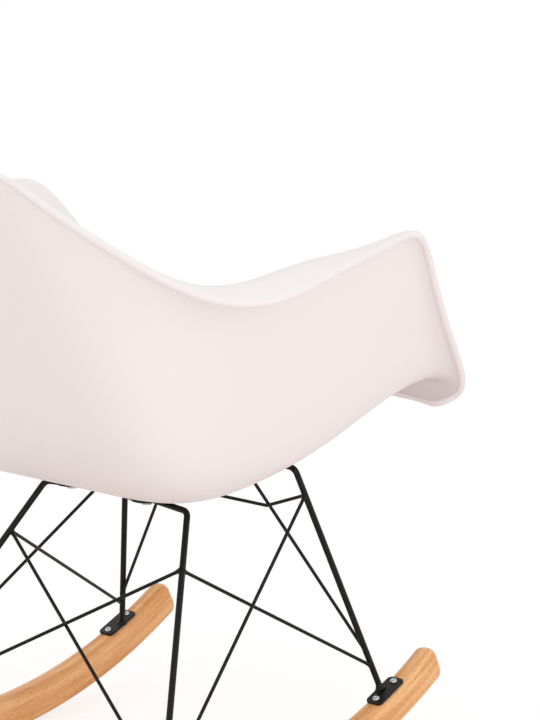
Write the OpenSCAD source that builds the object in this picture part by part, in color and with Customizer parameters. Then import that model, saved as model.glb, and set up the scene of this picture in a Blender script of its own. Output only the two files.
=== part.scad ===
// Moulded armchair shell on a bent-rod base with wooden rockers.
// X points to the front of the chair, Y to its left, Z up. The origin lies on
// the floor under the middle of the chair's bounding box.

/* [Shell] */
// Overall width of the shell across its arms
shell_width = 620; // [560:5:660]
// Wall thickness of the moulded shell
shell_wall = 5; // [4:0.5:6]
// Thickness of the lip that runs round the shell's edge
shell_lip = 8; // [6:0.5:9]
// Height of the lowest point of the shell's underside above the floor
shell_bottom = 352; // [345:1:356]
// Surface steps between two stations along the shell
station_steps = 3; // [2:1:3]
// Surface steps between two control points across the shell
rib_steps = 4; // [3:1:4]

/* [Base rods] */
// Diameter of the leg frame rod
rod_d = 7.2; // [6.5:0.1:8]
// Diameter of the brace wires
wire_d = 4; // [3:0.1:4.5]
// Centreline radius of the bends in the leg frames
bend_r = 10; // [8:0.5:14]
// Height of the front cross bar
front_bar_z = 348.5; // [345:0.5:349]
// Height of the rear leg frame's bends
rear_bar_z = 330; // [329:0.1:332]
// Rise of the rear cross bar from its bends to its middle
rear_bar_rise = 4.7; // [4:0.1:6]

/* [Shock mounts] */
// Diameter of a rubber shock mount
mount_d = 46; // [40:1:52]
// Diameter of a mount plate
plate_d = 36; // [34:1:40]
// Thickness of a mount plate
plate_t = 3; // [2:0.5:4]
// Distance from the cross bar to the mount screw
mount_offset = 13; // [12.5:0.5:14]
// Half the spacing of the front mounts
front_mount_y = 75; // [65:1:80]
// Half the spacing of the rear mounts
rear_mount_y = 55; // [45:1:70]
// Diameter of the mount screws
mount_screw_d = 6; // [5:1:6]

/* [Rockers] */
// Distance between the centre planes of the two rockers
rocker_spacing = 408; // [400:1:416]
// Width of a rocker
rocker_w = 26; // [24:1:30]
// Height of a rocker's section
rocker_h = 43; // [40:1:48]
// Radius of the curve that a rocker rolls on
rocker_r = 700; // [660:10:800]
// Place of a rocker's lowest point, along X
rocker_low_x = -22; // [-30:1:0]
// Place of a rocker's front end, along X
rocker_front_x = 289; // [280:1:294]
// Place of a rocker's rear end, along X
rocker_rear_x = -339; // [-345:1:-330]
// Rounding of a rocker's end corners
rocker_end_r = 13; // [8:1:14]

/* [Feet] */
// Length of a foot plate along the rocker
foot_len = 52; // [48:1:60]
// Width of a foot plate across the rocker
foot_w = 22; // [20:1:24]
// Thickness of a foot plate
foot_t = 3; // [2:0.5:4]
// Distance between the two screws of a foot plate
foot_pitch = 36; // [34:1:40]
// Diameter of the wood screws
wood_screw_d = 4; // [3.5:0.5:5]

/* [Hidden] */
$fn = 48;
left = 1;
right = -1;
sides = [left, right];

// ---- Shell surface ----------------------------------------------------------
// One station is a rib from the middle of the shell to its rim:
// [middle x, middle height], [rim x, rim y, rim height],
// half width of the flat pan, half width at the foot of the wall,
// inward reach and rise of the rolled flange. Heights are above the underside.
stations = [
    [[328,  41], [312, 198,  37], 120, 160,  4,  4],  // front edge
    [[346,  56], [332, 216,  54], 125, 180,  8,  6],  // front lip
    [[334,  73], [309, 232,  84], 130, 190, 10,  8],
    [[278,  67], [247, 251, 150], 135, 200, 12,  8],
    [[215,  49], [188, 272, 224], 140, 207, 12,  4],
    [[150,  29], [143, 290, 289], 145, 213, 14,  2],  // arm's front corner
    [[100,  16], [ 80, 295, 277], 148, 214, 28,  2],
    [[ 40,   6], [ 10, 303, 270], 150, 214, 42, 13],
    [[-20,   1], [-60, 310, 261], 150, 215, 50, 32],  // lowest rib
    [[-80,   1], [-130, 310, 247], 150, 217, 46, 42],
    [[-140, 11], [-200, 298, 253], 145, 217, 38, 32],
    [[-200, 43], [-245, 268, 275], 138, 208, 28, 18],
    [[-250, 120], [-278, 232, 305], 125, 187, 20, 12],
    [[-285, 222], [-303, 192, 334], 105, 150, 14,  8],
    [[-315, 316], [-322, 160, 358],  85, 125, 10,  6],
    [[-343, 402], [-331, 120, 386],  45,  80,  8,  2],  // top edge of the back
];
width_scale = (shell_width - shell_wall) / 620;

function rib(s) =
    let (mid = [s[0][0], 0, shell_bottom + s[0][1]],
         rim = [s[1][0], -s[1][1] * width_scale, shell_bottom + s[1][2]],
         reach = rim - mid,
         crest = rim + [0, s[4], s[5]],
         wall_y = s[3] + (-crest.y - s[3]) * 0.55)
    [mid,
     [mid.x, -s[2] / 2, mid.z],
     [mid.x, -s[2], mid.z],
     [mid.x + reach.x * 0.3, -s[3], mid.z + reach.z * 0.1],
     [mid.x + reach.x * 0.75, -wall_y, mid.z + reach.z * 0.62],
     crest,
     rim];

// Uniform cubic B-spline through the first and last of its points.
function blend_weights(t) =
    [pow(1 - t, 3), 3 * pow(t, 3) - 6 * t * t + 4,
     -3 * pow(t, 3) + 3 * t * t + 3 * t + 1, pow(t, 3)] / 6;
function end_padded(c) =
    let (last = len(c) - 1) concat([2 * c[0] - c[1]], c, [2 * c[last] - c[last - 1]]);
function spline_at(p, u) =
    let (a = min(floor(u), len(p) - 4), w = blend_weights(u - a))
    w[0] * p[a] + w[1] * p[a + 1] + w[2] * p[a + 2] + w[3] * p[a + 3];

// Each row crosses the shell at u stations from the front. Its columns run to
// the rim, which the first and last station round off at the shell's corners.
ribs = end_padded([for (s = stations) rib(s)]);
last_u = len(stations) - 1;
rim_v = len(rib(stations[0])) - 1;
corner_v = 2;
function corner_cut(t) = t < 1 ? corner_v * (1 - sqrt(1 - pow(1 - t, 2))) : 0;
function row_end(u) = rim_v - corner_cut(u) - corner_cut(last_u - u);
row_places = concat([0, 0.08], [for (i = [1:last_u * station_steps - 1]) i / station_steps],
                    [last_u - 0.08, last_u]);
row_ribs = [for (u = row_places) end_padded(spline_at(ribs, u))];
row_count = len(row_places);
half_count = rim_v * rib_steps;
col_count = 2 * half_count + 1;
half_rows = [for (i = [0:row_count - 1])
    [for (j = [0:half_count]) spline_at(row_ribs[i], row_end(row_places[i]) * j / half_count)]];

// The surface's normal on the right half, from its own two directions.
function half_normal(u, v) =
    let (e = 0.02, a = max(0, u - e), b = min(last_u, u + e), c = max(0, v - e), d = min(rim_v, v + e),
         along = spline_at(end_padded(spline_at(ribs, b) - spline_at(ribs, a)), v),
         r = end_padded(spline_at(ribs, u)),
         n = cross(along, spline_at(r, d) - spline_at(r, c)))
    n / norm(n);
half_normals = [for (i = [0:row_count - 1])
    [for (j = [0:half_count]) half_normal(row_places[i], row_end(row_places[i]) * j / half_count)]];

// The lip hangs below the shell along its edge and dies out in a short way.
lip_reach = 12;
function edge_distance(i, j) =
    let (p = half_rows[i][j])
    min(norm(p - half_rows[i][half_count]),
        norm(p - half_rows[0][j]),
        norm(p - half_rows[row_count - 1][j]));
function lip_drop(i, j) =
    let (t = max(0, 1 - edge_distance(i, j) / lip_reach))
    (shell_lip - shell_wall) * t * t * (3 - 2 * t);
function whole_row(r) =
    [for (j = [-half_count:half_count]) let (p = r[abs(j)]) [p.x, j < 0 ? -p.y : p.y, p.z]];
outer_skin = [for (i = [0:row_count - 1])
    whole_row([for (j = [0:half_count]) half_rows[i][j] - lip_drop(i, j) * half_normals[i][j]])];
inner_skin = [for (i = [0:row_count - 1])
    whole_row([for (j = [0:half_count]) half_rows[i][j] + shell_wall * half_normals[i][j]])];

module seat_shell() {
    points = [for (skin = [outer_skin, inner_skin]) for (r = skin) for (p = r) p];
    inner = row_count * col_count;
    function at(i, j) = i * col_count + j;
    last_row = row_count - 1;
    last_col = col_count - 1;
    faces = [
        for (i = [0:last_row - 1]) for (j = [0:last_col - 1])
            let (a = at(i, j), b = at(i + 1, j), c = at(i + 1, j + 1), d = at(i, j + 1))
                for (f = [[a, b, c], [a, c, d]]) f,
        for (i = [0:last_row - 1]) for (j = [0:last_col - 1])
            let (a = at(i, j) + inner, b = a + col_count)
                for (f = [[a, b + 1, b], [a, a + 1, b + 1]]) f,
        for (i = [0:last_row - 1]) for (j = [0, last_col])
            let (a = at(i, j), b = at(i + 1, j), c = b + inner, d = a + inner)
            for (f = j == 0 ? [[a, d, c], [a, c, b]] : [[a, c, d], [a, b, c]]) f,
        for (j = [0:last_col - 1]) for (i = [0, last_row])
            let (a = at(i, j), b = at(i, j + 1), c = b + inner, d = a + inner)
            for (f = i == 0 ? [[a, b, c], [a, c, d]] : [[a, c, b], [a, d, c]]) f,
    ];
    color("whitesmoke") polyhedron(points, faces);
}

// ---- Rods -------------------------------------------------------------------
module rod(from, to, d) {
    run = to - from;
    translate(from)
        rotate([0, acos(run.z / norm(run)), atan2(run.y, run.x)])
            cylinder(h = norm(run), d = d);
}

// A rod bent through the points of a flat path, with a radius for each bend.
function heading(a, b) = atan2(b.y - a.y, b.x - a.x);
function turn_at(p, i) =
    let (t = heading(p[i], p[i + 1]) - heading(p[i - 1], p[i]))
    t > 180 ? t - 360 : t < -180 ? t + 360 : t;
function setback(p, i, r) = i == 0 || i == len(p) - 1 ? 0 : r[i - 1] * tan(abs(turn_at(p, i)) / 2);
// The straight runs reach a little way into the bends, which are a hair thicker.
module bent_rod(path, d, r) {
    tuck = 0.4;
    last = len(path) - 1;
    for (i = [0:last - 1]) {
        a = heading(path[i], path[i + 1]);
        start = setback(path, i, r) - (i == 0 ? 0 : tuck);
        end = setback(path, i + 1, r) - (i + 1 == last ? 0 : tuck);
        translate([path[i].x, path[i].y, 0])
            rotate([0, 0, a]) translate([start, 0, 0]) rotate([0, 90, 0])
                cylinder(h = norm(path[i + 1] - path[i]) - start - end, d = d);
    }
    for (i = [1:last - 1]) {
        a = heading(path[i - 1], path[i]);
        turn = turn_at(path, i);
        side = sign(turn);
        centre = path[i] - setback(path, i, r) * [cos(a), sin(a)] + side * r[i - 1] * [-sin(a), cos(a)];
        translate([centre.x, centre.y, 0])
            rotate([0, 0, side > 0 ? a - 90 : a + turn + 90])
                rotate_extrude(angle = abs(turn)) translate([r[i - 1], 0]) circle(d = d + 0.1);
    }
}
// Lays a flat path's X along Y and its -Y down the slope of the chair's frame.
module in_leaning_plane(top, lean) {
    translate(top) rotate([0, -lean, 0]) rotate([90, 0, 90]) children();
}

// ---- Base geometry ----------------------------------------------------------
front_bar_x = 124;
rear_bar_x = -40;
front_bend_y = 125.4;
rear_bend_y = 104.5;
rear_flat_y = 52;
gentle_r = 60;

function rocker_top_z(x) = rocker_r - sqrt(pow(rocker_r - rocker_h, 2) - pow(x - rocker_low_x, 2));
function rocker_slope(x) = asin((x - rocker_low_x) / (rocker_r - rocker_h));
front_foot = [194, 197, rocker_top_z(194) + foot_t * cos(rocker_slope(194))];
rear_foot = [-212, 211, rocker_top_z(-212) + foot_t * cos(rocker_slope(-212))];
front_bend = [front_bar_x, front_bend_y, front_bar_z];
rear_bend = [rear_bar_x, rear_bend_y, rear_bar_z];

function on_leg(bend, foot, z) = bend + (foot - bend) * (bend.z - z) / (bend.z - foot.z);
function mirrored(p, side) = [p.x, side * p.y, p.z];

front_upper_joint = on_leg(front_bend, front_foot, 316);
front_lower_joint = on_leg(front_bend, front_foot, 110);
front_brace_foot = on_leg(front_bend, front_foot, 126);
rear_upper_joint = on_leg(rear_bend, rear_foot, 276);
rear_lower_joint = on_leg(rear_bend, rear_foot, 80);
front_brace_head = [front_bar_x, 47.5, front_bar_z - (rod_d + wire_d) / 2];
tie_z = 294;
tie_corner = front_brace_head + (front_brace_foot - front_brace_head)
    * (front_brace_head.z - tie_z) / (front_brace_head.z - front_brace_foot.z);

// Length of a leg measured down its frame's plane, and that plane's lean.
function lean(bend, foot) = atan2(foot.x - bend.x, bend.z - foot.z);
function plane_drop(bend, foot) = norm([foot.x - bend.x, foot.z - bend.z]);

module front_leg_frame() {
    drop = plane_drop(front_bend, front_foot);
    color("#211f1e")
        in_leaning_plane([front_bend.x, 0, front_bend.z], lean(front_bend, front_foot))
            bent_rod([[-front_foot.y, -drop], [-front_bend.y, 0], [front_bend.y, 0], [front_foot.y, -drop]],
                     rod_d, [bend_r, bend_r]);
}
// The rear cross bar falls gently from its middle to its bends.
module rear_leg_frame() {
    drop = plane_drop(rear_bend, rear_foot);
    half = [[rear_flat_y, rear_bar_rise], [rear_bend.y, 0], [rear_foot.y, -drop]];
    color("#211f1e")
        in_leaning_plane([rear_bend.x, 0, rear_bend.z], lean(rear_bend, rear_foot))
            bent_rod([for (i = [-3:2]) i < 0 ? [-half[-i - 1].x, half[-i - 1].y] : half[i]],
                     rod_d, [bend_r, gentle_r, gentle_r, bend_r]);
}

// Every brace ends where it meets the rods that it is welded to.
module coped() {
    difference() {
        children(0);
        for (s = sides) {
            rod(mirrored(front_bend, s), mirrored(front_foot, s), rod_d);
            rod(mirrored(rear_bend, s), mirrored(rear_foot, s), rod_d);
        }
    }
}

// The tie runs behind the front braces and touches them.
module front_tie_wire() {
    back = tie_corner - [wire_d, 0, 0];
    tilt = atan2(back.x - front_upper_joint.x, front_upper_joint.z - back.z);
    drop = norm([back.x - front_upper_joint.x, front_upper_joint.z - back.z]);
    color("#262423") coped()
        in_leaning_plane([front_upper_joint.x, 0, front_upper_joint.z], tilt)
            bent_rod([[-front_upper_joint.y, 0], [-back.y, -drop],
                      [back.y, -drop], [front_upper_joint.y, 0]], wire_d, [bend_r, bend_r]);
}

module front_brace(side) {
    color("#262423") coped()
        rod(mirrored(front_brace_head, side), mirrored(front_brace_foot, side), wire_d);
}
module fore_brace(side) {
    color("#262423") coped()
        rod(mirrored(front_upper_joint, side), mirrored(rear_lower_joint, side), wire_d);
}
module aft_brace(side) {
    color("#262423") coped()
        rod(mirrored(rear_upper_joint, side), mirrored(front_lower_joint, side), wire_d);
}
// The two rear braces cross on the middle of the chair and touch there.
module rear_cross_brace(side) {
    tilt = lean(rear_bend, rear_foot);
    shift = side * wire_d / 2 * [cos(tilt), 0, sin(tilt)];
    color("#262423") coped()
        rod(mirrored(rear_upper_joint, side) + shift, mirrored(rear_lower_joint, -side) + shift, wire_d);
}

// ---- Shock mounts -----------------------------------------------------------
mid_line = end_padded([for (s = stations) [s[0][0], shell_bottom + s[0][1]]]);
// Finds the place on the middle line that a mount standing at foot reaches.
function rise_gap(foot, u) =
    let (p = spline_at(mid_line, u), q = spline_at(mid_line, u + 0.01), t = (p - q) / norm(p - q))
    (p - foot) * t;
function facing_place(foot, lo, hi, n) =
    n == 0 ? (lo + hi) / 2
           : let (m = (lo + hi) / 2) rise_gap(foot, m) > 0 ? facing_place(foot, m, hi, n - 1)
                                                           : facing_place(foot, lo, m, n - 1);
function surface_tilt(u) =
    let (p = spline_at(mid_line, u), q = spline_at(mid_line, u + 0.01)) atan2(p.y - q.y, p.x - q.x);

// [bar x, bar z, offset of the screw from the bar, half spacing]
front_mounts = [front_bar_x, front_bar_z, mount_offset, front_mount_y];
rear_lean = lean(rear_bend, rear_foot);
rear_mounts = [rear_bar_x - rear_bar_rise * sin(rear_lean), rear_bar_z + rear_bar_rise * cos(rear_lean),
               -mount_offset, rear_mount_y];
function mount_tilt(m) = surface_tilt(facing_place([m[0] + m[2], m[1]], 3, 12, 24));
// Lower face of a mount plate's middle, in the chair's XZ plane.
function plate_foot(m) =
    let (a = mount_tilt(m)) [m[0], m[1]] + rod_d / 2 * [-sin(a), cos(a)] + m[2] * [cos(a), sin(a)];
bond = 0.8;  // how far a mount's crown beds into the shell's curve
function mount_height(m) =
    let (a = mount_tilt(m), f = plate_foot(m), u = facing_place(f, 3, 12, 24), p = spline_at(mid_line, u))
    (p - f) * [-sin(a), cos(a)] - plate_t + bond;
module at_mount(m, side) {
    f = plate_foot(m);
    translate([f.x, side * m[3], f.y]) rotate([0, -mount_tilt(m), 0]) children();
}

insert_d = 10;
insert_l = 9;
mount_hole_d = mount_screw_d + 0.6;
washer_t = 1.2;
screw_head_d = 11;
screw_head_h = 4;

module shock_mount(m, side) {
    color("#151515") at_mount(m, side) translate([0, 0, plate_t])
        difference() {
            union() {
                cylinder(h = 5, d = mount_d);
                cylinder(h = mount_height(m), d = mount_d - 6);
            }
            translate([0, 0, -1]) cylinder(h = insert_l + 1, d = insert_d);
        }
}
module mount_insert(m, side) {
    at_mount(m, side) translate([0, 0, plate_t]) difference() {
        cylinder(h = insert_l, d = insert_d);
        translate([0, 0, -1]) cylinder(h = insert_l, d = mount_screw_d);
    }
}
module mount_plate(m, side) {
    color("#232120") at_mount(m, side) difference() {
        cylinder(h = plate_t, d = plate_d);
        translate([0, 0, -1]) cylinder(h = plate_t + 2, d = mount_hole_d);
    }
}
module mount_washer(m, side) {
    at_mount(m, side) translate([0, 0, -washer_t]) difference() {
        cylinder(h = washer_t, d = screw_head_d + 2);
        translate([0, 0, -1]) cylinder(h = washer_t + 2, d = mount_hole_d);
    }
}
module mount_screw(m, side) {
    at_mount(m, side) translate([0, 0, -washer_t]) difference() {
        union() {
            translate([0, 0, -screw_head_h]) cylinder(h = screw_head_h, d = screw_head_d);
            cylinder(h = washer_t + plate_t + insert_l - 2, d = mount_screw_d);
        }
        translate([0, 0, -screw_head_h - 1]) cylinder(h = 3, d = 4, $fn = 6);
    }
}
module every_mount() {
    for (s = sides) {
        $side = s;
        $mount = front_mounts;
        children();
    }
    for (s = sides) {
        $side = s;
        $mount = rear_mounts;
        children();
    }
}
module mount_inserts() color("goldenrod") every_mount() mount_insert($mount, $side);
module mount_washers() color("silver") every_mount() mount_washer($mount, $side);
module mount_screws() color("silver") every_mount() mount_screw($mount, $side);

// ---- Rockers and feet -------------------------------------------------------
module at_foot(foot, side) {
    slope = rocker_slope(foot.x);
    translate([foot.x, side * rocker_spacing / 2, rocker_top_z(foot.x)]) rotate([0, -slope, 0]) children();
}
module foot_plate(foot, side) {
    color("#232120") at_foot(foot, side) difference() {
        translate([-foot_len / 2, -foot_w / 2, 0]) cube([foot_len, foot_w, foot_t]);
        for (e = [-1, 1]) translate([e * foot_pitch / 2, 0, -1])
            cylinder(h = foot_t + 2, d = wood_screw_d + 0.5);
    }
}
screw_depth = 26;
wood_head_d = 8.5;
wood_head_h = 2.6;
module wood_screw() {
    translate([0, 0, foot_t]) difference() {
        cylinder(h = wood_head_h, d = wood_head_d);
        translate([0, 0, 1]) cylinder(h = wood_head_h, d = 3.5, $fn = 6);
    }
    translate([0, 0, -screw_depth]) cylinder(h = screw_depth + foot_t, d = wood_screw_d);
}
module every_foot_screw() {
    for (s = sides) for (f = [front_foot, rear_foot]) for (e = [-1, 1])
        at_foot(f, s) translate([e * foot_pitch / 2, 0, 0]) children();
}
module rocker_screws() color("silver") every_foot_screw() wood_screw();

// A ring sector with bevelled edges. Three flats round each corner of its ends.
rocker_bevel = 4;
module rocker_end_flats(r_corner, end, inward) {
    for (a = [22.5, 45, 67.5])
        translate([r_corner, -end * rocker_end_r, -1])
            rotate([0, 0, inward ? 180 - end * a : end * a])
                translate([rocker_end_r, -40, 0]) cube([60, 80, rocker_w + 2]);
}
module rocker(side) {
    function reach(x) = asin((x - rocker_low_x) / (rocker_r - rocker_h / 2)) - 90;
    ends = [reach(rocker_rear_x), reach(rocker_front_x)];
    inner_r = rocker_r - rocker_h;
    b = rocker_bevel;
    h = rocker_h;
    w = rocker_w;
    color("burlywood") difference() {
        translate([rocker_low_x, side * rocker_spacing / 2 + rocker_w / 2, rocker_r])
            rotate([90, 0, 0]) difference() {
                rotate([0, 0, ends[0]]) rotate_extrude(angle = ends[1] - ends[0], $fn = 360)
                    translate([inner_r, 0])
                        polygon([[b, 0], [h - b, 0], [h, b], [h, w - b],
                                 [h - b, w], [b, w], [0, w - b], [0, b]]);
                for (e = [0, 1]) rotate([0, 0, ends[e]]) {
                    rocker_end_flats(rocker_r - rocker_end_r, 2 * e - 1, false);
                    rocker_end_flats(inner_r + rocker_end_r, 2 * e - 1, true);
                }
            }
        every_foot_screw() translate([0, 0, -screw_depth]) cylinder(h = screw_depth + 5, d = wood_screw_d);
    }
}

seat_shell();
shock_mount(front_mounts, left);  // front_left_shock_mount
shock_mount(front_mounts, right);  // front_right_shock_mount
shock_mount(rear_mounts, left);  // rear_left_shock_mount
shock_mount(rear_mounts, right);  // rear_right_shock_mount
mount_inserts();
mount_screws();
mount_washers();
mount_plate(front_mounts, left);  // front_left_mount_plate
mount_plate(front_mounts, right);  // front_right_mount_plate
mount_plate(rear_mounts, left);  // rear_left_mount_plate
mount_plate(rear_mounts, right);  // rear_right_mount_plate
front_leg_frame();
rear_leg_frame();
front_tie_wire();
front_brace(left);  // front_left_brace
front_brace(right);  // front_right_brace
fore_brace(left);  // left_fore_brace
fore_brace(right);  // right_fore_brace
aft_brace(left);  // left_aft_brace
aft_brace(right);  // right_aft_brace
rear_cross_brace(left);  // rear_cross_brace_a
rear_cross_brace(right);  // rear_cross_brace_b
foot_plate(front_foot, left);  // front_left_foot_plate
foot_plate(front_foot, right);  // front_right_foot_plate
foot_plate(rear_foot, left);  // rear_left_foot_plate
foot_plate(rear_foot, right);  // rear_right_foot_plate
rocker(left);  // left_rocker
rocker(right);  // right_rocker
rocker_screws();
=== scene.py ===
# %% [markdown]
# # A rocking chair with a moulded shell, a bent-rod base and beech rockers
# The chair is a white plastic shell with arms. It stands on rubber shock mounts, which are bolted to
# two bent steel rods. Thin wires brace the rods, and the four rod ends stand on two curved wooden
# rockers. This lesson dresses the finished construction model: it loads that model as a fixed frame,
# then makes the visible pieces around it, one after the other. All sizes are in metres.

# %% Load the construction model
import math

import bpy
import numpy as np
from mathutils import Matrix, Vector


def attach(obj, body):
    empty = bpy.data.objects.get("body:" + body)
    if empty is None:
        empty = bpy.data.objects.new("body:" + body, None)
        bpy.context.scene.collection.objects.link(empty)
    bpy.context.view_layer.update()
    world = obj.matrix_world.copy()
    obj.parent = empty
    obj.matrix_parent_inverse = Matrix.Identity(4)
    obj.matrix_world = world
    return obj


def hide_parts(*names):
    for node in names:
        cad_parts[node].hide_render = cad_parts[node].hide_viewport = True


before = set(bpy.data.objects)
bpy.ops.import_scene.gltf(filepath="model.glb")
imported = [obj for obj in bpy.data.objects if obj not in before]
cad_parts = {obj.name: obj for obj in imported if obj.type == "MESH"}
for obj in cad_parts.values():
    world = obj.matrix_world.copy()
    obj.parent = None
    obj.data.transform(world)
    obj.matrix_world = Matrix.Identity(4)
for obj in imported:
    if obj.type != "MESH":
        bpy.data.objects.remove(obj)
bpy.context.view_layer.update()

# %% [markdown]
# ## Helpers for nodes and colours
# A material and a Geometry Nodes tree are both node trees, so one small function can add a node to
# either, with its settings and its links. Blender works in linear light, but people name colours as
# sRGB hex values, so one function turns the second into the first.

# %% Add a node, and read a colour
MM = 0.001


def add(tree, kind, inputs=None, **settings):
    """Adds a node. A socket gets a value, or a link from another node's output."""
    node = tree.nodes.new(kind)
    for name, value in settings.items():
        setattr(node, name, value)
    for key, value in (inputs or {}).items():
        if isinstance(value, bpy.types.NodeSocket):
            tree.links.new(value, node.inputs[key])
        else:
            node.inputs[key].default_value = value
    return node


def srgb(code, alpha=1.0):
    """Turns #RRGGBB into Blender's linear colour."""
    parts = [int(code[i:i + 2], 16) / 255 for i in (1, 3, 5)]
    return [p / 12.92 if p <= 0.04045 else ((p + 0.055) / 1.055) ** 2.4 for p in parts] + [alpha]


print("white reads as", srgb("#FFFFFF"))


# %% Put a mesh in the scene
def link(obj):
    bpy.context.scene.collection.objects.link(obj)
    return obj


def smooth(mesh):
    mesh.polygons.foreach_set("use_smooth", [True] * len(mesh.polygons))


def grid_mesh(name, points, closed=False):
    """Joins rows of points with faces. closed joins the last point of each row to its first."""
    rows, columns = points.shape[:2]
    last = columns if closed else columns - 1
    faces = [(i * columns + j, (i + 1) * columns + j, (i + 1) * columns + (j + 1) % columns,
              i * columns + (j + 1) % columns) for i in range(rows - 1) for j in range(last)]
    mesh = bpy.data.meshes.new(name)
    mesh.from_pydata(points.reshape(-1, 3).tolist(), [], faces)
    return mesh


def frozen(obj):
    """Replaces an object and its modifiers by the plain mesh that they make."""
    graph = bpy.context.evaluated_depsgraph_get()
    mesh = bpy.data.meshes.new_from_object(obj.evaluated_get(graph))
    obj.modifiers.clear()
    obj.data = mesh
    return obj


print("helpers made")

# %% [markdown]
# ## The finishes
# Six materials cover the chair. Each starts from what the real one is and how its surface was made.
# A new material is a Principled shader, and a finish only adds the patterns that it needs. Patterns
# read Object coordinates, so a Noise scale is worked out from a real size: one noise cell per so many
# millimetres.


# %% Start a material
def new_material(name, colour, roughness, metallic=0.0, ior=None):
    material = bpy.data.materials.new(name)
    material.use_nodes = True
    shader = material.node_tree.nodes["Principled BSDF"]
    shader.inputs["Base Color"].default_value = srgb(colour)
    shader.inputs["Roughness"].default_value = roughness
    shader.inputs["Metallic"].default_value = metallic
    if ior:
        shader.inputs["IOR"].default_value = ior
    return material, material.node_tree, shader


def cells_per_metre(size_mm):
    """The scale at which a pattern repeats every so many millimetres."""
    return 1 / (size_mm * MM)


print("a 2 mm grain is a scale of", cells_per_metre(2))

# %% [markdown]
# ### Moulded polypropylene
# The shell is injection moulded polypropylene, coloured white all through. The mould is lightly
# sand-blasted, which gives the eye a satin surface with soft, wide highlights. The blasting is much
# too fine to see, so it is drawn as a faint bump at 1.5 mm.

# %% Shell plastic
shell_plastic, tree, shader = new_material("satin moulded polypropylene", "#F5EFEF", 0.42, ior=1.49)
place = add(tree, "ShaderNodeTexCoord").outputs["Object"]
grit = add(tree, "ShaderNodeTexNoise", {"Vector": place, "Scale": cells_per_metre(1.5), "Detail": 2.0})
relief = add(tree, "ShaderNodeBump", {"Height": grit.outputs["Fac"], "Strength": 0.05, "Distance": 0.1 * MM})
tree.links.new(relief.outputs["Normal"], shader.inputs["Normal"])
print("made", shell_plastic.name)

# %% [markdown]
# ### Black powder coat
# The rods are steel under a black polyester powder coat. Powder flows out as it is baked, but not
# quite flat: it keeps a slight orange peel about 2 mm wide, and a satin gloss.

# %% Powder coat
powder_coat, tree, shader = new_material("satin black powder coat", "#100F0E", 0.36, ior=1.5)
place = add(tree, "ShaderNodeTexCoord").outputs["Object"]
peel = add(tree, "ShaderNodeTexNoise", {"Vector": place, "Scale": cells_per_metre(2), "Detail": 1.0})
relief = add(tree, "ShaderNodeBump", {"Height": peel.outputs["Fac"], "Strength": 0.12, "Distance": 0.15 * MM})
tree.links.new(relief.outputs["Normal"], shader.inputs["Normal"])
shader.inputs["Specular IOR Level"].default_value = 0.22
print("made", powder_coat.name)

# %% [markdown]
# ### Oiled beech
# The rockers are beech, which is a warm orange tan with short darker flecks along the grain. The
# board is bent, so its grain follows the curve. The rocker's mesh therefore carries its own
# coordinates: distance along the curve, across the board, and through its depth. Long, thin noise
# makes the slow bands of growth, and a finer noise makes the flecks.

# %% Beech
beech, tree, shader = new_material("oiled beech", "#E8A86A", 0.45, ior=1.5)
grain_place = add(tree, "ShaderNodeAttribute", attribute_name="grain").outputs["Vector"]
lengthwise = add(tree, "ShaderNodeMapping", {"Vector": grain_place, "Scale": (0.05, 1.0, 1.0)})
bands = add(tree, "ShaderNodeTexNoise", {"Vector": lengthwise.outputs["Vector"], "Scale": cells_per_metre(7),
                                         "Detail": 3.0, "Roughness": 0.55, "Distortion": 0.4})
fleck_place = add(tree, "ShaderNodeMapping", {"Vector": grain_place, "Scale": (0.16, 1.0, 1.0)})
flecks = add(tree, "ShaderNodeTexNoise", {"Vector": fleck_place.outputs["Vector"],
                                          "Scale": cells_per_metre(0.9), "Detail": 2.0})
band_colour = add(tree, "ShaderNodeValToRGB", {"Fac": bands.outputs["Fac"]})
band_colour.color_ramp.elements[0].position = 0.32
band_colour.color_ramp.elements[0].color = srgb("#DC9654")
band_colour.color_ramp.elements[1].position = 0.66
band_colour.color_ramp.elements[1].color = srgb("#FAC287")
fleck_colour = add(tree, "ShaderNodeValToRGB", {"Fac": flecks.outputs["Fac"]})
fleck_colour.color_ramp.elements[0].position = 0.34
fleck_colour.color_ramp.elements[0].color = srgb("#CDB8A4")
fleck_colour.color_ramp.elements[1].position = 0.46
fleck_colour.color_ramp.elements[1].color = srgb("#FFFFFF")
wood_colour = add(tree, "ShaderNodeMix", {"Factor": 0.55, 6: band_colour.outputs["Color"],
                                          7: fleck_colour.outputs["Color"]},
                  data_type="RGBA", blend_type="MULTIPLY")
tree.links.new(wood_colour.outputs[2], shader.inputs["Base Color"])
relief = add(tree, "ShaderNodeBump", {"Height": flecks.outputs["Fac"], "Strength": 0.15,
                                      "Distance": 0.1 * MM})
tree.links.new(relief.outputs["Normal"], shader.inputs["Normal"])
print("made", beech.name)

# %% [markdown]
# ### Rubber, zinc and brass
# The shock mounts are natural rubber, moulded black and matt. The fasteners are steel with a thin,
# slightly cloudy zinc plate. The threaded inserts inside the mounts are plain brass, and hardly show.

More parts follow.
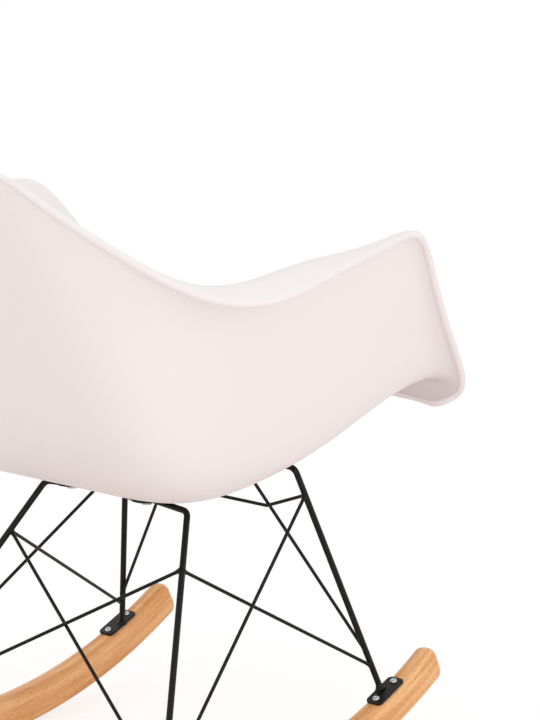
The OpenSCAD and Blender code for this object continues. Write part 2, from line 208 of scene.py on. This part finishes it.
# %% Small hardware
rubber, tree, shader = new_material("matt black rubber", "#181818", 0.78, ior=1.52)
zinc, tree, shader = new_material("zinc-plated steel", "#C3C5C6", 0.34, metallic=1.0)
place = add(tree, "ShaderNodeTexCoord").outputs["Object"]
cloud = add(tree, "ShaderNodeTexNoise", {"Vector": place, "Scale": cells_per_metre(3), "Detail": 2.0})
haze = add(tree, "ShaderNodeMapRange", {"Value": cloud.outputs["Fac"], "To Min": 0.26, "To Max": 0.44})
tree.links.new(haze.outputs["Result"], shader.inputs["Roughness"])
brass, tree, shader = new_material("turned brass", "#C9A566", 0.3, metallic=1.0)
for node, material in (("mount_inserts", brass), ("mount_washers", zinc), ("mount_screws", zinc)):
    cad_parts[node].data.materials.clear()
    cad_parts[node].data.materials.append(material)
for side in ("left", "right"):
    for end in ("front", "rear"):
        for kind, material in (("shock_mount", rubber), ("mount_plate", powder_coat)):
            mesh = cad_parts[f"{end}_{side}_{kind}"].data
            mesh.materials.clear()
            mesh.materials.append(material)
print("made", rubber.name + ",", zinc.name, "and", brass.name)

# %% [markdown]
# ## The seat shell
# The shell is one moulding about 5 mm thick. Its pan is nearly flat, its sides sweep up into arms,
# and its rim rolls outwards into a flange. Such a free-form shape is best described by a few ribs:
# each rib gives the middle of the shell, the rim, and how wide the pan and the wall stand between
# them. A smooth surface then follows from the ribs, as a cubic B-spline in both directions.

# %% The ribs, from the front edge to the top of the back, in mm
SHELL_BOTTOM = 352
SHELL_WIDTH = 620
WALL = 5
RIBS = [  # middle x and height, rim x, y and height, pan, wall foot, flange reach and rise
    ((328, 41), (312, 198, 37), 120, 160, 4, 4),
    ((346, 56), (332, 216, 54), 125, 180, 8, 6),
    ((334, 73), (309, 232, 84), 130, 190, 10, 8),
    ((278, 67), (247, 251, 150), 135, 200, 12, 8),
    ((215, 49), (188, 272, 224), 140, 207, 12, 4),
    ((150, 29), (143, 290, 289), 145, 213, 14, 2),
    ((100, 16), (80, 295, 277), 148, 214, 28, 2),
    ((40, 6), (10, 303, 270), 150, 214, 42, 13),
    ((-20, 1), (-60, 310, 261), 150, 215, 50, 32),
    ((-80, 1), (-130, 310, 247), 150, 217, 46, 42),
    ((-140, 11), (-200, 298, 253), 145, 217, 38, 32),
    ((-200, 43), (-245, 268, 275), 138, 208, 28, 18),
    ((-250, 120), (-278, 232, 305), 125, 187, 20, 12),
    ((-285, 222), (-303, 192, 334), 105, 150, 14, 8),
    ((-315, 316), (-322, 160, 358), 85, 125, 10, 6),
    ((-343, 402), (-331, 120, 386), 45, 80, 8, 2),
]


def rib_points(middle, rim, pan, foot, flange_reach, flange_rise):
    """Seven control points of one rib, from the middle of the shell to its right rim."""
    x, z = middle[0], SHELL_BOTTOM + middle[1]
    rim_y = -rim[1] * (SHELL_WIDTH - WALL) / SHELL_WIDTH
    along, up = rim[0] - x, SHELL_BOTTOM + rim[2] - z
    crest_y = rim_y + flange_reach
    wall_y = -(foot + (-crest_y - foot) * 0.55)
    return [(x, 0, z), (x, -pan / 2, z), (x, -pan, z), (x + along * 0.3, -foot, z + up * 0.1),
            (x + along * 0.75, wall_y, z + up * 0.62), (rim[0], crest_y, z + up + flange_rise),
            (rim[0], rim_y, z + up)]


ribs = np.array([rib_points(*rib) for rib in RIBS], float)
LAST_U, RIM_V = len(ribs) - 1, len(ribs[0]) - 1
print("ribs:", ribs.shape[0], "with", ribs.shape[1], "points each")

# %% [markdown]
# ### From ribs to a smooth surface
# A place on the surface is (u, v): u counts ribs from the front, and v counts points from the middle
# to the rim. Four neighbours blend into each place, and the end points are continued in a straight
# line so that the surface reaches them.


# %% A place on the surface, and the direction that it faces
def blend(points, t):
    """A uniform cubic B-spline through its first and last point."""
    padded = np.concatenate([[2 * points[0] - points[1]], points, [2 * points[-1] - points[-2]]])
    k = min(int(t), len(points) - 2)
    f = t - k
    weights = np.array([(1 - f) ** 3, 3 * f ** 3 - 6 * f * f + 4,
                        -3 * f ** 3 + 3 * f * f + 3 * f + 1, f ** 3]) / 6
    return np.tensordot(weights, padded[k:k + 4], 1)


def surface(u, v):
    return blend(blend(ribs, u), v)


def unit(vectors):
    return vectors / np.linalg.norm(vectors, axis=-1, keepdims=True)


def facing(u, v, step=0.02):
    """The upper side's normal, from the two directions of the surface."""
    u0, u1, v0, v1 = max(0, u - step), min(LAST_U, u + step), max(0, v - step), min(RIM_V, v + step)
    return unit(np.cross(surface(u1, v) - surface(u0, v), surface(u, v1) - surface(u, v0)))


print("lowest rib, middle:", surface(8, 0).round(1), "rim:", surface(8, RIM_V).round(1))

# %% [markdown]
# ### The sheet's outline
# The sheet stops a little short of the rim on all sides, to leave room for a round lip. The outline
# also cuts the four corners of the (u, v) rectangle with a quarter ellipse, so the shell has rounded
# corners. Rows stand close together near both ends, where the corners turn.

# %% Lay out the rows and columns
INSET, CORNER_V = 3.8, 2.0
front_u = INSET / np.linalg.norm(surface(0.05, 3) - surface(0, 3)) * 0.05
back_u = INSET / np.linalg.norm(surface(LAST_U, 3) - surface(LAST_U - 0.05, 3)) * 0.05


def corner_cut(t):
    return CORNER_V * (1 - math.sqrt(max(0, 1 - (1 - t) ** 2))) if t < 1 else 0


def row_end(u):
    pace = np.linalg.norm(surface(u, RIM_V) - surface(u, RIM_V - 0.25)) / 0.25
    inset = min(1.0, INSET / pace)
    return RIM_V - inset - corner_cut(u - front_u) - corner_cut(LAST_U - back_u - u)


ROW_STEP = 0.125
near_end = np.linspace(0, 1, 11) ** 2
row_places = np.concatenate([front_u + near_end, np.arange(1.25, LAST_U - 1.1, ROW_STEP),
                             (LAST_U - back_u - near_end)[::-1]])
row_places.sort()
LIP_COLUMNS = 0.92  # the columns stand closer together from here to the rim
column_places = np.concatenate([np.linspace(0, LIP_COLUMNS, 40), np.linspace(LIP_COLUMNS, 1, 11)[1:]])
half, normal = np.zeros((2, len(row_places), len(column_places), 3))
for i, u in enumerate(row_places):
    end = row_end(u)
    for j, place in enumerate(column_places):
        half[i, j] = surface(u, end * place)
        normal[i, j] = facing(u, end * place)
print("half sheet:", half.shape[:2])

# %% [markdown]
# ### Two skins and a round lip
# The upper skin lies one wall above the sheet. The lower skin is the sheet itself, and near the edge
# it drops to make a thicker lip. The two are joined by a half-round band that runs all round: at each
# edge point it swings from the upper skin, outwards and down to the lower one.


# %% Skins
def both_sides(rows, flip):
    """Adds the left half, which mirrors the right one."""
    return np.concatenate([(rows * flip)[:, :0:-1], rows], axis=1)


def smooth_step(t):
    t = np.clip(t, 0, 1)
    return t * t * (3 - 2 * t)


LIP, LIP_REACH, BULGE = 8.4, 6, 3.3
skin_wall = WALL - 0.2
edge_distance = np.min([np.linalg.norm(half - border, axis=2)
                        for border in (half[:, -1:], half[:1], half[-1:])], axis=0)
drop = (LIP - WALL) * smooth_step(1 - edge_distance / LIP_REACH)[..., None]
mirror = np.array([1, -1, 1])
upper = both_sides(half + skin_wall * normal, mirror)
lower = both_sides(half - drop * normal, mirror)
rows, columns = upper.shape[:2]


# %% The edge loop and its band
def around(grid):
    """The border of a grid, once round."""
    return np.concatenate([grid[0, :-1], grid[:-1, -1], grid[-1, :0:-1], grid[:0:-1, 0]])


number = np.arange(rows * columns).reshape(rows, columns)
edge = around(number[..., None])[:, 0]
edge_upper, edge_lower = around(upper), around(lower)
middle, half_height = (edge_upper + edge_lower) / 2, (edge_upper - edge_lower) / 2
run = np.roll(middle, -1, axis=0) - np.roll(middle, 1, axis=0)
outward = unit(np.cross(run, half_height))
if np.sum((middle - surface(7, 0)) * outward) < 0:
    outward = -outward
band = [middle + half_height * math.cos(a) + outward * BULGE * math.sin(a)
        for a in np.linspace(0, math.pi, 9)[1:-1]]

points = np.concatenate([upper.reshape(-1, 3), lower.reshape(-1, 3)] + band) * MM
rings = [edge] + [2 * rows * columns + k * len(edge) + np.arange(len(edge)) for k in range(len(band))] \
    + [rows * columns + edge]
faces = []
for i in range(rows - 1):
    for j in range(columns - 1):
        a, b, c, d = number[i, j], number[i + 1, j], number[i + 1, j + 1], number[i, j + 1]
        faces += [(a, b, c, d), tuple(q + rows * columns for q in (d, c, b, a))]
for ring, following in zip(rings[:-1], rings[1:]):
    around_band = np.stack([ring, following, np.roll(following, -1), np.roll(ring, -1)], axis=1)
    faces += [tuple(q) for q in around_band.tolist()]
print("lip:", len(edge), "edge points,", len(rings), "rings")


# %% Make the shell
shell_mesh = bpy.data.meshes.new("seat_shell_skin")
shell_mesh.from_pydata(points.tolist(), [], [tuple(int(q) for q in face) for face in faces])
shell_mesh.materials.append(shell_plastic)
smooth(shell_mesh)
shell = link(bpy.data.objects.new("seat_shell_skin", shell_mesh))
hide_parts("seat_shell")
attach(shell, "root")
print("shell:", len(shell.data.polygons), "faces")

# %% [markdown]
# ## The places of the rods
# The base is drawn by a few points: where each leg frame bends, where its feet stand, and at what
# height each wire is welded to a leg. These are the construction model's own values.

# %% Rockers' curve and the feet
ROCKER_R, ROCKER_H, ROCKER_W = 700, 43, 26
ROCKER_LOW_X, ROCKER_Y = -22, 204
FOOT_T = 3


def rocker_top(x):
    return ROCKER_R - math.sqrt((ROCKER_R - ROCKER_H) ** 2 - (x - ROCKER_LOW_X) ** 2)


def rocker_slope(x):
    return math.asin((x - ROCKER_LOW_X) / (ROCKER_R - ROCKER_H))


def foot_at(x, y):
    return np.array([x, y, rocker_top(x) + FOOT_T * math.cos(rocker_slope(x))])


FRONT_BEND, REAR_BEND = np.array([124, 125.4, 348.5]), np.array([-40, 104.5, 330])
FRONT_FOOT, REAR_FOOT = foot_at(194, 197), foot_at(-212, 211)
ROD_R, WIRE_R, BEND_R = 3.6, 2.0, 10
REAR_BAR_RISE, REAR_FLAT_Y = 4.7, 52  # the rear cross bar is a little higher in its middle
print("feet at", FRONT_FOOT.round(1), REAR_FOOT.round(1))

# %% Where the wires meet the legs
MIRROR = np.array([1, -1, 1])


def down_leg(bend, foot, z):
    return bend + (foot - bend) * (bend[2] - z) / (bend[2] - foot[2])


front_upper = down_leg(FRONT_BEND, FRONT_FOOT, 316)
front_lower = down_leg(FRONT_BEND, FRONT_FOOT, 110)
front_brace_foot = down_leg(FRONT_BEND, FRONT_FOOT, 126)
rear_upper = down_leg(REAR_BEND, REAR_FOOT, 276)
rear_lower = down_leg(REAR_BEND, REAR_FOOT, 80)
front_brace_head = np.array([124, 47.5, FRONT_BEND[2] - ROD_R - WIRE_R])
tie_corner = front_brace_head + (front_brace_foot - front_brace_head) \
    * (front_brace_head[2] - 294) / (front_brace_head[2] - front_brace_foot[2])
tie_corner = tie_corner - [2 * WIRE_R, 0, 0]
lean = math.atan2(REAR_FOOT[0] - REAR_BEND[0], REAR_BEND[2] - REAR_FOOT[2])
crossing_gap = WIRE_R * np.array([math.cos(lean), 0, math.sin(lean)])
print("the tie wire bends at", tie_corner.round(1))

# %% [markdown]
# ## Rods and wires from one Geometry Nodes tree
# A bent rod is a path with rounded corners and a round section. That rule suits Geometry Nodes: the
# tree takes a line through the corner points, fillets its corners, and sweeps a circle along it. All
# the rods and wires of the base use the same tree, with other sizes.


# %% A tree's named inputs
def new_tree(name, floats=(), whole=()):
    tree = bpy.data.node_groups.new(name, "GeometryNodeTree")
    tree.interface.new_socket("Geometry", in_out="INPUT", socket_type="NodeSocketGeometry")
    for socket in floats:
        tree.interface.new_socket(socket, in_out="INPUT", socket_type="NodeSocketFloat")
    for socket in whole:
        tree.interface.new_socket(socket, in_out="INPUT", socket_type="NodeSocketInt")
    tree.interface.new_socket("Material", in_out="INPUT", socket_type="NodeSocketMaterial")
    tree.interface.new_socket("Geometry", in_out="OUTPUT", socket_type="NodeSocketGeometry")
    return tree, add(tree, "NodeGroupInput").outputs


def end_tree(tree, geometry, material):
    """Every tree ends the same way: real mesh, smooth, with its material."""
    real = add(tree, "GeometryNodeRealizeInstances", {"Geometry": geometry})
    soft = add(tree, "GeometryNodeSetShadeSmooth", {0: real.outputs[0]})
    painted = add(tree, "GeometryNodeSetMaterial", {"Geometry": soft.outputs[0], "Material": material})
    add(tree, "NodeGroupOutput", {0: painted.outputs[0]})


rod_tree, given = new_tree("Bent rod", ("Rod radius", "Bend radius"), ("Bend steps", "Sides"))
path = add(rod_tree, "GeometryNodeMeshToCurve", {0: given["Geometry"]})
bends = add(rod_tree, "GeometryNodeFilletCurve",
            {"Curve": path.outputs[0], "Radius": given["Bend radius"], "Limit Radius": True,
             "Count": given["Bend steps"]}, mode="POLY")
section = add(rod_tree, "GeometryNodeCurvePrimitiveCircle",
              {"Resolution": given["Sides"], "Radius": given["Rod radius"]})
swept = add(rod_tree, "GeometryNodeCurveToMesh",
            {"Curve": bends.outputs[0], "Profile Curve": section.outputs[0], "Fill Caps": True})
end_tree(rod_tree, swept.outputs[0], given["Material"])
print("tree:", rod_tree.name, "with", len(rod_tree.nodes), "nodes")


# %% Grow a piece from a tree
def grown(name, paths, tree, material, node=None, **sizes):
    """Lays lines through the given points in mm, runs the tree on them, and keeps the plain mesh."""
    carrier = bpy.data.meshes.new(name)
    points, edges = [], []
    for line in paths:
        edges += [(len(points) + i, len(points) + i + 1) for i in range(len(line) - 1)]
        points += [(np.array(p) * MM).tolist() for p in line]
    carrier.from_pydata(points, edges, [])
    obj = link(bpy.data.objects.new(name, carrier))
    shape = obj.modifiers.new("Shape", "NODES")
    shape.node_group = tree
    for item in tree.interface.items_tree:
        if item.in_out == "INPUT" and item.name.replace(" ", "_") in sizes:
            shape[item.identifier] = sizes[item.name.replace(" ", "_")]
        elif item.in_out == "INPUT" and item.name == "Material":
            shape[item.identifier] = material
    frozen(obj)
    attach(obj, "root")
    for replaced in ([node] if isinstance(node, str) else node or []):
        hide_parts(replaced)
    print("grew", name, "with", len(obj.data.polygons), "faces")
    return obj


def rod(name, path, radius=WIRE_R, bend=BEND_R):
    piece = grown(name + "_rod", [path], rod_tree, powder_coat, node=name, Rod_radius=radius * MM,
                  Bend_radius=bend * MM, Bend_steps=10, Sides=24)
    return piece


# %% The two leg frames and the tie wire
def across(*points):
    """A path over the whole chair from the points of its right half, listed from the outside in."""
    right = [p * MIRROR for p in points]
    return right + [p for p in points[::-1]]


rod("front_leg_frame", across(FRONT_FOOT, FRONT_BEND), ROD_R)
bar_rise = REAR_BAR_RISE * np.array([-math.sin(lean), 0, math.cos(lean)])
rear_flat = np.array([REAR_BEND[0], REAR_FLAT_Y, REAR_BEND[2]]) + bar_rise
rod("rear_leg_frame", across(REAR_FOOT, REAR_BEND, rear_flat), ROD_R)
rod("front_tie_wire", across(front_upper, tie_corner))

# %% The straight wires
wires = {}
for side, flip in (("left", np.array([1, 1, 1])), ("right", MIRROR)):
    wires[f"front_{side}_brace"] = (front_brace_head * flip, front_brace_foot * flip)
    wires[f"{side}_fore_brace"] = (front_upper * flip, rear_lower * flip)
    wires[f"{side}_aft_brace"] = (rear_upper * flip, front_lower * flip)
wires["rear_cross_brace_a"] = (rear_upper + crossing_gap, rear_lower * MIRROR + crossing_gap)
wires["rear_cross_brace_b"] = (rear_upper * MIRROR - crossing_gap, rear_lower - crossing_gap)
for name, ends in wires.items():
    rod(name, ends)

# %% [markdown]
# ## Weld fillets
# Where a wire meets a leg, the weld leaves a small smooth flare, which the powder coat softens
# further. Each flare is a short tube round the wire that widens towards the leg. Its radius follows
# a curve, so this is a second small tree: it resamples a short line, sets a radius along it, and
# sweeps a circle.

# %% Weld tree
weld_tree, given = new_tree("Weld fillet", ("Thin radius", "Flare"), ("Steps", "Sides"))
path = add(weld_tree, "GeometryNodeMeshToCurve", {0: given["Geometry"]})
steps = add(weld_tree, "GeometryNodeResampleCurve", {"Curve": path.outputs[0], "Count": given["Steps"]})
along = add(weld_tree, "GeometryNodeSplineParameter").outputs["Factor"]
nearness = add(weld_tree, "ShaderNodeMath", {0: 1.0, 1: along}, operation="SUBTRACT")
curve = add(weld_tree, "ShaderNodeMath", {0: nearness.outputs[0], 1: 2.2}, operation="POWER")
flare = add(weld_tree, "ShaderNodeMath", {0: curve.outputs[0], 1: given["Flare"], 2: given["Thin radius"]},
            operation="MULTIPLY_ADD")
section = add(weld_tree, "GeometryNodeCurvePrimitiveCircle", {"Resolution": given["Sides"], "Radius": 1.0})
swept = add(weld_tree, "GeometryNodeCurveToMesh",
            {"Curve": steps.outputs[0], "Profile Curve": section.outputs[0],
             "Scale": flare.outputs[0], "Fill Caps": True})
end_tree(weld_tree, swept.outputs[0], given["Material"])
print("tree:", weld_tree.name, "with", len(weld_tree.nodes), "nodes")


# %% Welds on the legs, and at the rods' feet
def towards(start, end, distance):
    return start + (end - start) / np.linalg.norm(end - start) * distance


wire_welds = []
for name, (start, end) in wires.items():
    for here, there in ((start, end), (end, start)):
        if not (name.endswith("_brace") and name.startswith("front") and here is start):
            wire_welds.append((here, towards(here, there, 13)))
for flip in (np.array([1, 1, 1]), MIRROR):
    wire_welds.append((front_upper * flip, towards(front_upper, tie_corner, 11) * flip))
welds = grown("wire_welds", wire_welds, weld_tree, powder_coat, Thin_radius=1.9 * MM, Flare=2.0 * MM,
              Steps=10, Sides=20)

foot_welds = []
for bend, foot in ((FRONT_BEND, FRONT_FOOT), (REAR_BEND, REAR_FOOT)):
    for flip in (np.array([1, 1, 1]), MIRROR):
        foot_welds.append((foot * flip, towards(foot, bend, 9) * flip))
welds = grown("foot_welds", foot_welds, weld_tree, powder_coat, Thin_radius=3.5 * MM, Flare=3.0 * MM,
              Steps=10, Sides=28)

# %% [markdown]
# ## The rockers
# Each rocker is a board bent to a circle, with its edges rounded over by about a third of its width
# and its ends rounded like a bull's nose. A rounded section is swept along the arc. Near an end the
# section shrinks, by as much as a ball of the nose's radius would.

# %% One rocker
NOSE, ROUND = 13.0, 9.0
ARC_STEPS, NOSE_STEPS, CORNER_STEPS = 90, 10, 6


def rounded_section(width, height, radius):
    """Points round a rectangle with rounded corners, about its own middle."""
    radius = max(min(radius, width / 2, height / 2), 0.01)
    points = []
    for quarter, (sx, sy) in enumerate(((1, 1), (-1, 1), (-1, -1), (1, -1))):
        for step in range(CORNER_STEPS + 1):
            angle = math.radians(90 * (quarter + step / CORNER_STEPS))
            points.append((sx * (width / 2 - radius) + radius * math.cos(angle),
                           sy * (height / 2 - radius) + radius * math.sin(angle)))
    return points


def rocker_stations(length):
    """Distances from the rear end: close together in the noses, even between them."""
    nose = [NOSE * (1 - math.cos(math.radians(90 * k / NOSE_STEPS))) for k in range(NOSE_STEPS)]
    middle = np.linspace(NOSE, length - NOSE, ARC_STEPS).tolist()
    return nose + middle + [length - d for d in nose[::-1]]


def rocker(side, y):
    middle_r = ROCKER_R - ROCKER_H / 2
    rear, front = (math.asin((x - ROCKER_LOW_X) / middle_r) for x in (-339, 289))
    length = (front - rear) * middle_r
    rows, grain = [], []
    for d in rocker_stations(length):
        into_nose = max(NOSE - min(d, length - d), 0)
        inset = NOSE - math.sqrt(max(NOSE ** 2 - into_nose ** 2, 0))
        angle = rear + d / middle_r
        row = []
        section = rounded_section(ROCKER_W - 2 * inset, ROCKER_H - 2 * inset, ROUND + inset * 0.3)
        for across_board, depth in section:
            r = middle_r + depth
            row.append((ROCKER_LOW_X + r * math.sin(angle), y - across_board, ROCKER_R - r * math.cos(angle)))
            grain.append((d * MM, (across_board + y) * MM, depth * MM))
        rows.append(row)
    mesh = grid_mesh(f"{side}_rocker_board", np.array(rows) * MM, closed=True)
    layer = mesh.attributes.new("grain", "FLOAT_VECTOR", "POINT")
    layer.data.foreach_set("vector", np.array(grain, float).ravel())
    mesh.materials.append(beech)
    smooth(mesh)
    board = link(bpy.data.objects.new(f"{side}_rocker_board", mesh))
    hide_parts(f"{side}_rocker")
    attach(board, "root")
    return board


for side, y in (("left", ROCKER_Y), ("right", -ROCKER_Y)):
    board = rocker(side, y)
    print(board.name, "has", len(board.data.polygons), "faces")

# %% [markdown]
# ## Close the noses, and check which way the faces point
# The last section at each nose has shrunk almost to a point. It is merged, so that the board is a
# closed solid, and the normals are then recalculated.

# %% Close a mesh
import bmesh


def closed_mesh(mesh, distance=0.02 * MM):
    work = bmesh.new()
    work.from_mesh(mesh)
    bmesh.ops.remove_doubles(work, verts=work.verts, dist=distance)
    rims = [e for e in work.edges if e.is_boundary]
    if rims:
        bmesh.ops.holes_fill(work, edges=rims, sides=0)
    bmesh.ops.recalc_face_normals(work, faces=work.faces)
    left_open = sum(e.is_boundary for e in work.edges)
    work.to_mesh(mesh)
    work.free()
    return left_open


for side in ("left", "right"):
    print(side, "rocker: open edges", closed_mesh(bpy.data.objects[f"{side}_rocker_board"].data))
print("shell: open edges", closed_mesh(shell.data, 0.001 * MM))

# %% [markdown]
# ## Foot plates and screws
# Each rod end is welded to a small steel plate, and two screws hold the plate down on its rocker.
# The plate is a rounded slab. The screws are all alike, so they are instances on points: a tree
# turns each point's stored direction into a rotation and sets one modelled screw head there.


# %% A slab with rounded corners
def slab(name, length, width, thick, corner, place):
    """A plate on its own ground, laid where place puts it."""
    rows = []
    for shrink, z in ((0.5, 0), (0, 0.5), (0, thick - 0.5), (0.5, thick)):
        ring = rounded_section(length - 2 * shrink, width - 2 * shrink, corner)
        rows.append([place(x, y, z) for x, y in ring])
    points = np.array(rows)
    mesh = grid_mesh(name, points * MM, closed=True)
    closed_mesh(mesh)
    mesh.materials.append(powder_coat)
    return link(bpy.data.objects.new(name, mesh))


def on_rocker(x, side):
    """Turns a point on the rocker's top, at x, into the chair's own coordinates."""
    slope, z0 = rocker_slope(x), rocker_top(x)

    def place(along, over, up):
        return (x + along * math.cos(slope) - up * math.sin(slope), side * ROCKER_Y + over,
                z0 + along * math.sin(slope) + up * math.cos(slope))
    return place


FOOT_L, FOOT_W, PITCH = 52, 22, 36
screw_points, screw_directions = [], []
for end, x in (("front", 194), ("rear", -212)):
    for side, sign in (("left", 1), ("right", -1)):
        place = on_rocker(x, sign)
        plate = slab(f"{end}_{side}_foot", FOOT_L, FOOT_W, FOOT_T, 6, place)
        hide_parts(f"{end}_{side}_foot_plate")
        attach(plate, "root")
        for along in (-PITCH / 2, PITCH / 2):
            screw_points.append(place(along, 0, FOOT_T))
            screw_directions.append((-math.sin(rocker_slope(x)), 0, math.cos(rocker_slope(x))))
print("foot plates: 4, screws:", len(screw_points))


# %% A domed screw head with a hexagon socket
def turned(name, profile, sides):
    """Turns a profile of (radius, height) pairs in mm round the Z axis."""
    rows = [[(r * math.cos(2 * math.pi * k / sides), r * math.sin(2 * math.pi * k / sides), z)
             for k in range(sides)] for r, z in profile]
    mesh = grid_mesh(name, np.array(rows) * MM, closed=True)
    closed_mesh(mesh)
    return mesh


HEAD = [(0.01, 1.1), (1.55, 1.1), (1.75, 1.2), (1.75, 2.45), (2.1, 2.6), (2.9, 2.35), (3.7, 1.7), (4.2, 0.7),
        (4.25, 0.2), (4.1, 0.0), (0.01, 0.0)]
head_mesh = turned("screw_head", HEAD, 24)
head_mesh.materials.append(zinc)
head = link(bpy.data.objects.new("screw_head", head_mesh))

screw_tree, given = new_tree("Screws on points")
screw_tree.interface.new_socket("Screw", in_out="INPUT", socket_type="NodeSocketObject")
model = add(screw_tree, "GeometryNodeObjectInfo", {"Object": given["Screw"], "As Instance": True})
facing = add(screw_tree, "GeometryNodeInputNamedAttribute", {"Name": "facing"}, data_type="FLOAT_VECTOR")
turn = add(screw_tree, "FunctionNodeAlignRotationToVector", {"Vector": facing.outputs[0]}, axis="Z")
dots = add(screw_tree, "GeometryNodeMeshToPoints", {"Mesh": given["Geometry"]})
set_down = add(screw_tree, "GeometryNodeInstanceOnPoints",
               {"Points": dots.outputs[0], "Instance": model.outputs["Geometry"],
                "Rotation": turn.outputs[0]})
end_tree(screw_tree, set_down.outputs[0], given["Material"])

# %% Set the screws
carrier = bpy.data.meshes.new("rocker_screw_heads")
carrier.from_pydata([(np.array(p) * MM).tolist() for p in screw_points], [], [])
layer = carrier.attributes.new("facing", "FLOAT_VECTOR", "POINT")
layer.data.foreach_set("vector", np.array(screw_directions, float).ravel())
screws = link(bpy.data.objects.new("rocker_screw_heads", carrier))
shape = screws.modifiers.new("Shape", "NODES")
shape.node_group = screw_tree
for item in screw_tree.interface.items_tree:
    if item.in_out == "INPUT" and item.name == "Screw":
        shape[item.identifier] = head
    elif item.in_out == "INPUT" and item.name == "Material":
        shape[item.identifier] = zinc
frozen(screws)
bpy.data.objects.remove(head)
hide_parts("rocker_screws")
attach(screws, "root")
print("screws:", len(screws.data.polygons), "faces")

# %% [markdown]
# ## The studio
# The chair stands on a plain white floor in a bright room, with three weak lamps that model it: one
# above, one beside it and one in front. The camera sees the floor glow, so that it reads as white
# while it still takes the chair's shadow. Nothing else sees that glow.

# %% Floor and world
floor_mesh = grid_mesh("floor", np.array([[(-9, -9, 0), (9, -9, 0)], [(-9, 9, 0), (9, 9, 0)]], float)[::-1])
floor_paint, tree, shader = new_material("white studio floor", "#F6EFEC", 0.9)
seen = add(tree, "ShaderNodeLightPath").outputs["Is Camera Ray"]
share = add(tree, "ShaderNodeMath", {0: seen, 1: 0.65}, operation="MULTIPLY")
glow = add(tree, "ShaderNodeEmission", {"Color": srgb("#FFFFFF"), "Strength": 1.15})
both = add(tree, "ShaderNodeMixShader", {0: share.outputs[0], 1: shader.outputs[0], 2: glow.outputs[0]})
tree.links.new(both.outputs[0], tree.nodes["Material Output"].inputs["Surface"])
floor_mesh.materials.append(floor_paint)
floor = link(bpy.data.objects.new("floor", floor_mesh))

world = bpy.data.worlds.new("bright room")
bpy.context.scene.world = world
world.use_nodes = True
tree = world.node_tree
room = tree.nodes["Background"]
room.inputs["Color"].default_value = srgb("#FFFFFF")
paths = add(tree, "ShaderNodeLightPath")
seen = add(tree, "ShaderNodeMath", {0: paths.outputs["Is Camera Ray"], 1: paths.outputs["Is Glossy Ray"]},
           operation="MAXIMUM")
strength = add(tree, "ShaderNodeMapRange", {"Value": seen.outputs[0], "To Min": 0.85, "To Max": 1.0})
tree.links.new(strength.outputs["Result"], room.inputs["Strength"])
print("floor and world made")


# %% Lamps
def lamp(name, place, target, size, power):
    data = bpy.data.lights.new(name, "AREA")
    data.shape = "DISK"
    data.size = size
    data.energy = power
    obj = link(bpy.data.objects.new(name, data))
    obj.location = place
    obj.rotation_euler = (Vector(target) - Vector(place)).to_track_quat("-Z", "Y").to_euler()


lamp("top softbox", (-0.3, -0.4, 3.0), (0, 0, 0.4), 2.2, 3)
lamp("side softbox", (-1.7, -2.6, 0.9), (0, 0, 0.5), 1.8, 11)
lamp("front softbox", (1.6, -2.6, 1.2), (0, 0, 0.5), 1.8, 5)

# %% [markdown]
# ## The camera
# The camera stands behind the chair's right side, a little above it, with a long lens. The chair is
# seen close, so parts of it run out of the picture.

# %% Camera
camera_data = bpy.data.cameras.new("camera")
camera_data.sensor_fit = "VERTICAL"
camera_data.sensor_height = 36
camera_data.lens = 141.8
camera = link(bpy.data.objects.new("camera", camera_data))
camera.location = (-2.3273, -2.0116, 1.1763)
camera.rotation_euler = (math.radians(90 - 12.81), 0, math.radians(-51.91))
bpy.context.scene.camera = camera
bpy.context.scene.view_settings.view_transform = "Standard"
print("camera lens:", camera_data.lens, "mm")
